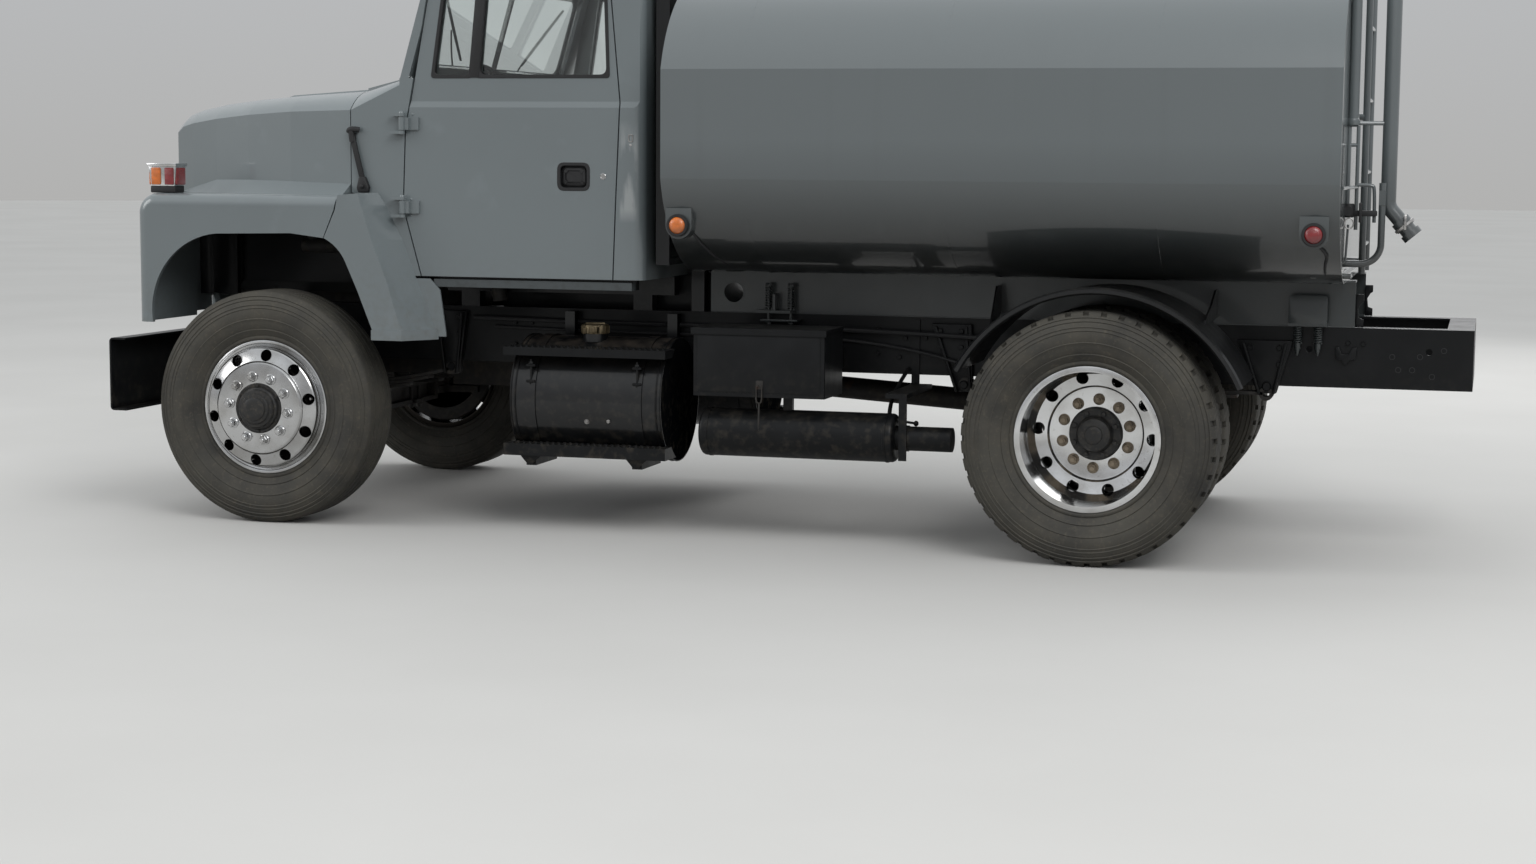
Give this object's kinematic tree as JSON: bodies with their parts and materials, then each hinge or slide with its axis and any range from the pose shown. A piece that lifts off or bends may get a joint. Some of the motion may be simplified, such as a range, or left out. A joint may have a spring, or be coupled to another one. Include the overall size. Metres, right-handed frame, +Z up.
{
  "type": "two-axle conventional-cab tanker truck",
  "caption": "Two-axle tanker truck with tilting hood, two-door cab, road tank on frame sills, steered front wheels and twin rear wheels.",
  "frame": {"origin": "on the ground, midway between the bumper face and the frame end", "axes": "+X forward, +Y to the left of the driver, +Z up"},
  "size_m": [5.91, 2.47, 2.6],
  "materials": {
    "grey_paint": "gloss",
    "frame_black": "satin",
    "running_gear": "matte",
    "radiator_black": "matte",
    "clear_glass": "clear",
    "cab_trim": "matte",
    "tyre_rubber": "matte",
    "polished_wheel": "polished",
    "lamp_lens": "gloss"
  },
  "bodies": {
    "chassis": {"frame_rail_left": "frame_black", "frame_rail_right": "frame_black", "frame_crossmembers": "frame_black", "bumper": "frame_black", "engine_block": "running_gear", "radiator": "radiator_black", "driveshaft": "running_gear", "front_axle_beam": "running_gear", "rear_axle": "running_gear", "leaf_springs": "frame_black", "cab_floor": "grey_paint", "cab_back_wall": "grey_paint", "cab_roof": "grey_paint", "cowl": "grey_paint", "cab_glass": "clear_glass", "cab_fender_corners": "grey_paint", "dashboard": "cab_trim", "seats": "cab_trim", "tank": "grey_paint", "tank_sills": "frame_black", "rear_fenders": "frame_black", "fuel_tanks": "frame_black", "cab_steps": "frame_black", "battery_box": "frame_black", "muffler": "running_gear", "hood_hinges": "frame_black", "fill_pipe": "grey_paint", "riser_pipe": "grey_paint", "ladder": "grey_paint", "marker_lamps": "lamp_lens", "cab_guard": "frame_black"},
    "hood": {"hood_shell": "grey_paint", "fender_left": "grey_paint", "fender_right": "grey_paint", "grille": "grey_paint", "headlamps": "lamp_lens", "turn_signals": "lamp_lens"},
    "door_left": {"door_left": "grey_paint", "door_glass_left": "clear_glass"},
    "door_right": {"door_right": "grey_paint", "door_glass_right": "clear_glass"},
    "manhole_lid": {"manhole_lid": "grey_paint"},
    "steering_wheel": {"steering_wheel": "cab_trim"},
    "knuckle_left": {"knuckle_left": "running_gear"},
    "knuckle_right": {"knuckle_right": "running_gear"},
    "front_wheel_left": {"tyre_front_left": "tyre_rubber", "wheel_front_left": "polished_wheel", "hub_front_left": "running_gear"},
    "front_wheel_right": {"tyre_front_right": "tyre_rubber", "wheel_front_right": "polished_wheel", "hub_front_right": "running_gear"},
    "rear_wheels_left": {"tyres_rear_left": "tyre_rubber", "wheels_rear_left": "polished_wheel", "hub_rear_left": "running_gear"},
    "rear_wheels_right": {"tyres_rear_right": "tyre_rubber", "wheels_rear_right": "polished_wheel", "hub_rear_right": "running_gear"}
  },
  "joints": [
    {"name": "hood_tilt", "type": "hinge", "parent": "chassis", "child": "hood", "pos_m": [2.82, 0, 0.88], "axis": [0, 1, 0], "range_deg": [0, 75]},
    {"name": "door_left_hinge", "type": "hinge", "parent": "chassis", "child": "door_left", "pos_m": [1.59, 1.04, 1.6], "axis": [0, 0, -1], "range_deg": [0, 68]},
    {"name": "door_right_hinge", "type": "hinge", "parent": "chassis", "child": "door_right", "pos_m": [1.59, -1.04, 1.6], "axis": [0, 0, 1], "range_deg": [0, 68]},
    {"name": "manhole_hinge", "type": "hinge", "parent": "chassis", "child": "manhole_lid", "pos_m": [-1.005, 0, 2.5173], "axis": [0, -1, 0], "range_deg": [0, 110]},
    {"name": "steer_left", "type": "hinge", "parent": "chassis", "child": "knuckle_left", "pos_m": [2.235, 0.8, 0.52], "axis": [0, 0, 1], "range_deg": [-35, 35]},
    {"name": "steer_right", "type": "hinge", "parent": "chassis", "child": "knuckle_right", "pos_m": [2.235, -0.8, 0.52], "axis": [0, 0, 1], "range_deg": [-35, 35]},
    {"name": "steering_wheel_turn", "type": "hinge", "parent": "chassis", "child": "steering_wheel", "pos_m": [1.33, 0.48, 1.85], "axis": [0.766, 0, -0.6428], "range_deg": [-700, 700]},
    {"name": "front_spin_left", "type": "hinge", "parent": "knuckle_left", "child": "front_wheel_left", "pos_m": [2.235, 1, 0.52], "axis": [0, 1, 0], "continuous": true},
    {"name": "front_spin_right", "type": "hinge", "parent": "knuckle_right", "child": "front_wheel_right", "pos_m": [2.235, -1, 0.52], "axis": [0, 1, 0], "continuous": true},
    {"name": "rear_spin_left", "type": "hinge", "parent": "chassis", "child": "rear_wheels_left", "pos_m": [-1.465, 0.913, 0.52], "axis": [0, 1, 0], "continuous": true},
    {"name": "rear_spin_right", "type": "hinge", "parent": "chassis", "child": "rear_wheels_right", "pos_m": [-1.465, -0.913, 0.52], "axis": [0, 1, 0], "continuous": true}
  ],
  "couplings": [
    {"joint": "steer_right", "follows": "steer_left", "ratio": 1},
    {"joint": "steering_wheel_turn", "follows": "steer_left", "ratio": -20}
  ]
}
